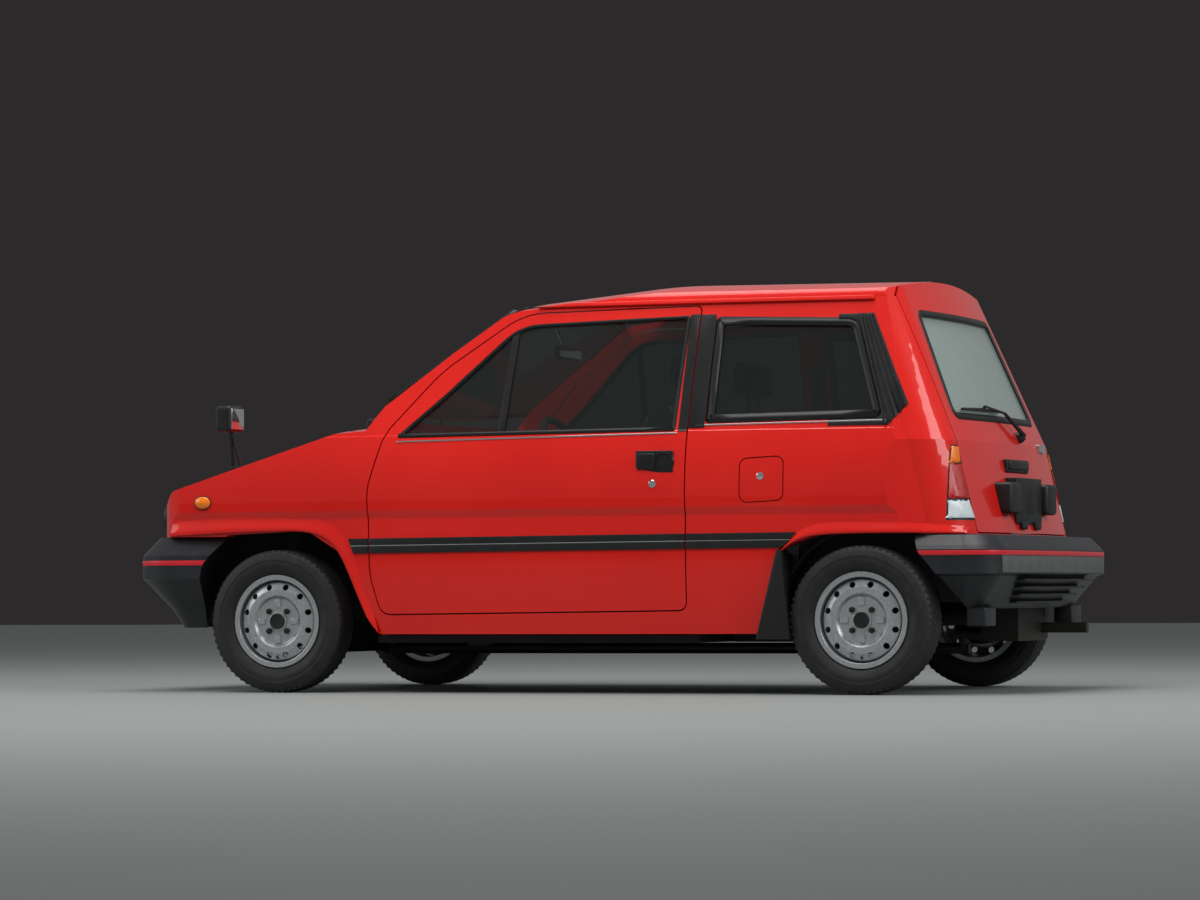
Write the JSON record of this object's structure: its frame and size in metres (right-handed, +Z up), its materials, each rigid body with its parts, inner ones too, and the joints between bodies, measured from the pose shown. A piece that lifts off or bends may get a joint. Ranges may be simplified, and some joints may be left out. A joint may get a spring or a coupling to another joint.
{
  "type": "hatchback car",
  "caption": "Small tall three-door hatchback with steel wheels, fender mirrors, jointed doors, hood, tailgate, steering and rolling wheels.",
  "frame": {"origin": "on the ground, half way along and across the car", "axes": "+X forward, +Y to the car's left, +Z up"},
  "size_m": [3.38, 1.5614, 1.4683],
  "materials": {
    "body_paint": "gloss",
    "black_trim": "matte",
    "bumper_plastic": "satin",
    "underbody": "matte",
    "window_glass": "gloss",
    "lamp_glass": "gloss",
    "lamp_lens": "gloss",
    "cast_metal": "matte",
    "bare_steel": "satin",
    "cabin_plastic": "matte",
    "seat_cloth": "matte",
    "wheel_paint": "satin",
    "tyre_rubber": "matte"
  },
  "bodies": {
    "body": {"floor_pan": "underbody", "bulkhead": "body_paint", "left_side_panel": "body_paint", "right_side_panel": "body_paint", "roof_panel": "body_paint", "left_fender": "body_paint", "right_fender": "body_paint", "nose_panel": "black_trim", "headlamps": "lamp_glass", "windscreen": "window_glass", "quarter_windows": "window_glass", "front_bumper": "bumper_plastic", "rear_bumper": "bumper_plastic", "tail_lamps": "lamp_lens", "fender_mirrors": "black_trim", "wheel_houses": "underbody", "engine_block": "cast_metal", "fuel_tank": "underbody", "exhaust": "bare_steel", "front_suspension": "underbody", "rear_suspension": "underbody", "dashboard": "cabin_plastic", "steering_column": "cabin_plastic", "left_seat": "seat_cloth", "right_seat": "seat_cloth", "rear_seat": "seat_cloth"},
    "steering_wheel": {"steering_wheel": "cabin_plastic"},
    "hood": {"hood": "body_paint"},
    "fuel_lid": {"fuel_lid": "body_paint"},
    "left_door": {"left_door": "body_paint", "left_door_glass": "window_glass"},
    "right_door": {"right_door": "body_paint", "right_door_glass": "window_glass"},
    "tailgate": {"tailgate": "body_paint", "tailgate_glass": "window_glass"},
    "left_knuckle": {"left_knuckle": "cast_metal"},
    "right_knuckle": {"right_knuckle": "cast_metal"},
    "front_left_wheel": {"front_left_rim": "wheel_paint", "front_left_tyre": "tyre_rubber"},
    "front_right_wheel": {"front_right_rim": "wheel_paint", "front_right_tyre": "tyre_rubber"},
    "rear_left_wheel": {"rear_left_rim": "wheel_paint", "rear_left_tyre": "tyre_rubber"},
    "rear_right_wheel": {"rear_right_rim": "wheel_paint", "rear_right_tyre": "tyre_rubber"}
  },
  "joints": [
    {"name": "steering_wheel_turn", "type": "hinge", "parent": "body", "child": "steering_wheel", "pos_m": [0.318, -0.335, 0.862], "axis": [-0.848, 0, 0.5299], "range_deg": [-560, 560]},
    {"name": "left_steer", "type": "hinge", "parent": "body", "child": "left_knuckle", "pos_m": [1.045, 0.62, 0.165], "axis": [0, -0.1631, 0.9866], "range_deg": [-34, 34]},
    {"name": "right_steer", "type": "hinge", "parent": "body", "child": "right_knuckle", "pos_m": [1.045, -0.62, 0.165], "axis": [0, 0.1631, 0.9866], "range_deg": [-34, 34]},
    {"name": "front_left_spin", "type": "hinge", "parent": "left_knuckle", "child": "front_left_wheel", "pos_m": [1.045, 0.685, 0.258], "axis": [0, 1, 0], "continuous": true},
    {"name": "front_right_spin", "type": "hinge", "parent": "right_knuckle", "child": "front_right_wheel", "pos_m": [1.045, -0.685, 0.258], "axis": [0, 1, 0], "continuous": true},
    {"name": "rear_left_spin", "type": "hinge", "parent": "body", "child": "rear_left_wheel", "pos_m": [-1.175, 0.685, 0.258], "axis": [0, 1, 0], "continuous": true},
    {"name": "rear_right_spin", "type": "hinge", "parent": "body", "child": "rear_right_wheel", "pos_m": [-1.175, -0.685, 0.258], "axis": [0, 1, 0], "continuous": true},
    {"name": "left_door_swing", "type": "hinge", "parent": "body", "child": "left_door", "pos_m": [0.662, 0.758, 0.5], "axis": [0, 0, -1], "range_deg": [0, 65]},
    {"name": "right_door_swing", "type": "hinge", "parent": "body", "child": "right_door", "pos_m": [0.662, -0.758, 0.5], "axis": [0, 0, 1], "range_deg": [0, 65]},
    {"name": "hood_lift", "type": "hinge", "parent": "body", "child": "hood", "pos_m": [0.777, 0, 0.981], "axis": [0, -1, 0], "range_deg": [0, 60]},
    {"name": "tailgate_lift", "type": "hinge", "parent": "body", "child": "tailgate", "pos_m": [-1.234, 0, 1.461], "axis": [0, 1, 0], "range_deg": [0, 80]},
    {"name": "fuel_lid_swing", "type": "hinge", "parent": "body", "child": "fuel_lid", "pos_m": [-0.742, 0.7675, 0.747], "axis": [0, 0, -1], "range_deg": [0, 95]}
  ],
  "couplings": [
    {"joint": "left_steer", "follows": "steering_wheel_turn", "ratio": 0.058824},
    {"joint": "right_steer", "follows": "steering_wheel_turn", "ratio": 0.058824}
  ]
}
